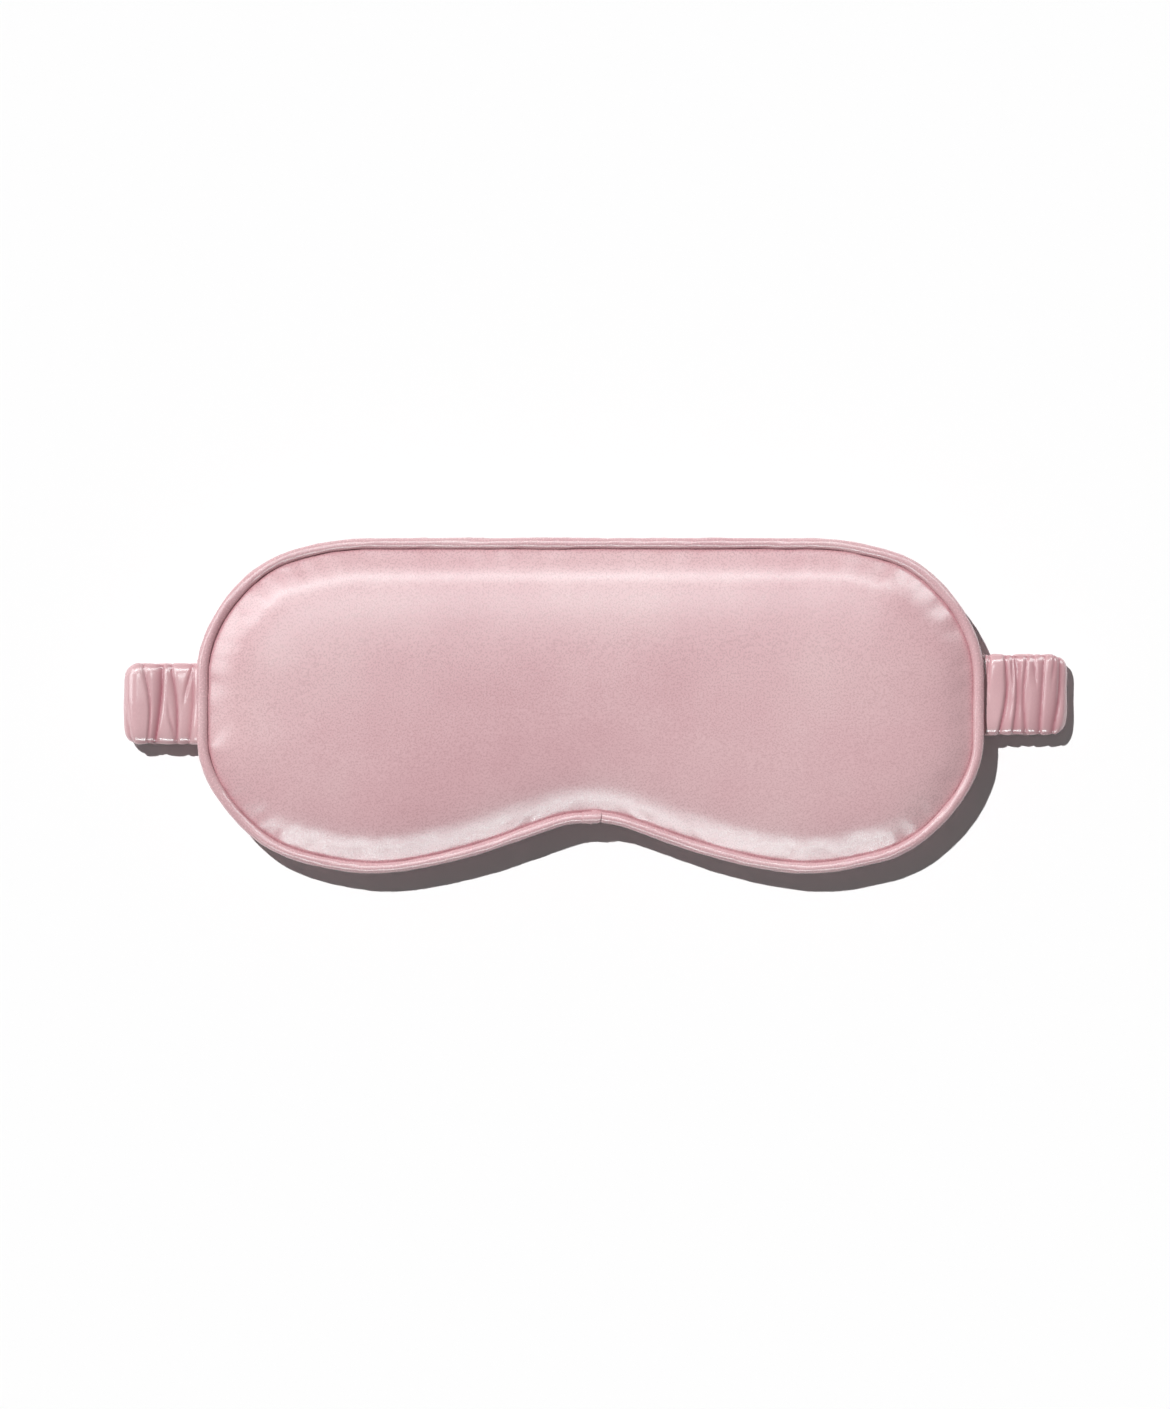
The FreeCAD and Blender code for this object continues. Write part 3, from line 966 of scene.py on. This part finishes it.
whole_sleeve = ruched_sleeve()
STRAP.lay(whole_sleeve.data)
for name, (start, stop) in STOPS.items():
    part, side = name.split("_")[1:]
    sleeve = stretch_of(whole_sleeve, "ruched_" + name, start, stop)
    wall = sleeve.modifiers.new("cloth_thickness", "SOLIDIFY")
    wall.thickness = 0.22 * MM
    wall.offset = -1
    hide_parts(name)
    if part == "end":
        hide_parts("sleeve_fold_" + side)
    if name == "sleeve_run_left":
        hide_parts("sleeve_back")
    hang_on_strap(sleeve, part)
bpy.data.objects.remove(whole_sleeve)


# ---- Strap: elastic ---------------------------------------------------------------------------
# Inside the sleeve runs a flat woven elastic: rubber cores covered with polyester lie side by side
# along it, which gives it fine ribs. Both its ends are sewn into the mask's side seams.
ELASTIC_LOW, ELASTIC_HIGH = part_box("elastic_back")
ELASTIC_W = ELASTIC_HIGH.y - ELASTIC_LOW.y
ELASTIC_THICK = ELASTIC_HIGH.z - ELASTIC_LOW.z
ELASTIC_RIBS = 9
RIB_HIGH = 0.10 * MM


def elastic_material():
    """Ribbed woven elastic: ribs from the strip's width, crossed by the weft."""
    m = cloth_material("elastic_weave", (0.80, 0.62, 0.63), 0.75, 900, 0.05 * MM)
    nodes, link = m.node_tree.nodes, m.node_tree.links.new
    place = nodes.new("ShaderNodeAttribute")
    place.attribute_name = "strip"
    split = nodes.new("ShaderNodeSeparateXYZ")
    link(place.outputs["Vector"], split.inputs[0])
    across = nodes.new("ShaderNodeMath")
    across.operation = "MULTIPLY"
    across.inputs[1].default_value = 2 * math.pi * ELASTIC_RIBS / ELASTIC_W
    link(split.outputs["Y"], across.inputs[0])
    rib = nodes.new("ShaderNodeMath")
    rib.operation = "SINE"
    link(across.outputs[0], rib.inputs[0])
    raised = nodes.new("ShaderNodeBump")
    raised.inputs["Distance"].default_value = 0.12 * MM
    link(rib.outputs[0], raised.inputs["Height"])
    fine = next(n for n in nodes if n.bl_idname == "ShaderNodeBump" and n != raised)
    link(raised.outputs["Normal"], fine.inputs["Normal"])
    return m


elastic_weave = elastic_material()
elastic_bm = straight_tube(STRAP.length, 1.0, SLEEVE_RINGS // 2, 48)
whole_elastic = piece_from("elastic", elastic_bm, elastic_weave)
co = coordinates(whole_elastic.data)
turn = np.arctan2(co[:, 2], co[:, 1])
across = 1 - 2 * np.abs(turn) / math.pi
ribs = RIB_HIGH * np.abs(np.sin(across * ELASTIC_RIBS * math.pi))
thick = (ELASTIC_THICK / 2 * 0.8) * np.sqrt(np.clip(1 - across ** 8, 0, 1)) + ribs
strip = np.column_stack([co[:, 0] * GATHER, across * ELASTIC_W / 2, np.zeros(len(co))])
layer = whole_elastic.data.attributes.new("strip", "FLOAT_VECTOR", "POINT")
layer.data.foreach_set("vector", strip.astype(np.float32).ravel())
pulled = ELASTIC_W / 2 - FOLD_CORNER * fold_share(co[:, 0])
flat = np.column_stack([co[:, 0], across * pulled * 0.97, np.sign(turn) * thick])
set_coordinates(whole_elastic.data, flat)
STRAP.lay(whole_elastic.data)
for name, (start, stop) in STOPS.items():
    part, side = name.split("_")[1:]
    elastic = stretch_of(whole_elastic, "woven_elastic_{}_{}".format(part, side), start, stop)
    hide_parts("elastic_{}_{}".format(part, side))
    if part == "end":
        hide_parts("elastic_fold_" + side)
    if name == "sleeve_run_left":
        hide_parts("elastic_back")
    hang_on_strap(elastic, part)
bpy.data.objects.remove(whole_elastic)


# ---- Strap ends in the side seams -------------------------------------------------------------
# The flat ends of sleeve and elastic lie between the liner and the back panel, where a dense bar
# of zigzag stitches holds each of them to the seam.
tail_satin = satin("tail_satin", gloss=0.33)
tail_weave = cloth_material("tail_elastic", (0.80, 0.62, 0.63), 0.75, 900, 0.08 * MM)
tack_pink = cloth_material("tack_thread", (0.60, 0.30, 0.34), 0.6, 3000, 0.1 * MM)
TACK_THREAD_R = 0.14 * MM
TACK_TURNS = 34                               # zigzags in the bar, from edge to edge of the tail


def pressed_tube(name, node, material, ripple, ribs):
    """Flat tube that fills a node's box from end to end, with pressed pleats or woven ribs."""
    low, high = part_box(node)
    bm = straight_tube(high.x - low.x, 1.0, 40, 72, caps=False)
    band = piece_from(name, bm, material)
    co = coordinates(band.data)
    turn = np.arctan2(co[:, 2], co[:, 1])
    u = 1 - 2 * np.abs(turn) / math.pi
    wrinkle = np.array([noise.noise((x * 420, a * 1.5, b)) for x, a, b in zip(co[:, 0], u, np.sin(turn))])
    raised = 1 - ripple * (0.5 + wrinkle) - ribs * np.abs(np.cos(u * ELASTIC_RIBS * math.pi))
    middle = (low + high) / 2
    y = middle.y + u * (high.y - low.y) / 2 * 0.98
    z = middle.z + np.sign(turn) * (high.z - low.z) / 2 * np.sqrt(np.clip(1 - u ** 8, 0, 1)) * raised
    set_coordinates(band.data, np.column_stack([low.x + co[:, 0], y, z]))
    wall = band.modifiers.new("cloth_thickness", "SOLIDIFY")
    wall.thickness = 0.15 * MM
    wall.offset = -1
    return band


for side in ("left", "right"):
    mask = "mask_" + side
    sleeve_tail = pressed_tube("pressed_sleeve_tail_" + side, "sleeve_tail_" + side, tail_satin, 0.25, 0)
    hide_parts("sleeve_tail_" + side)
    low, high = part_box("sleeve_tail_" + side)
    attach(sleeve_tail, mask)

    elastic_tail = pressed_tube("woven_elastic_tail_" + side, "elastic_tail_" + side, tail_weave, 0, 0.2)
    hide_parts("elastic_tail_" + side)
    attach(elastic_tail, mask)

    low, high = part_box("bar_tack_" + side)
    across = (high.x - low.x) / 2 - TACK_THREAD_R
    corners = []
    for k in range(2 * TACK_TURNS + 1):
        share = k / (2 * TACK_TURNS)
        x = (low.x + high.x) / 2 + across * (1 if k % 2 else -1)
        corners.append((x, low.y + share * (high.y - low.y), (low.z + high.z) / 2))
    zigzag = Line(corners)
    tack_bm = straight_tube(zigzag.length, TACK_THREAD_R, 6 * TACK_TURNS, 6)
    tack = piece_from("zigzag_tack_" + side, tack_bm, tack_pink)
    zigzag.lay(tack.data)
    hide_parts("bar_tack_" + side)
    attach(tack, mask)
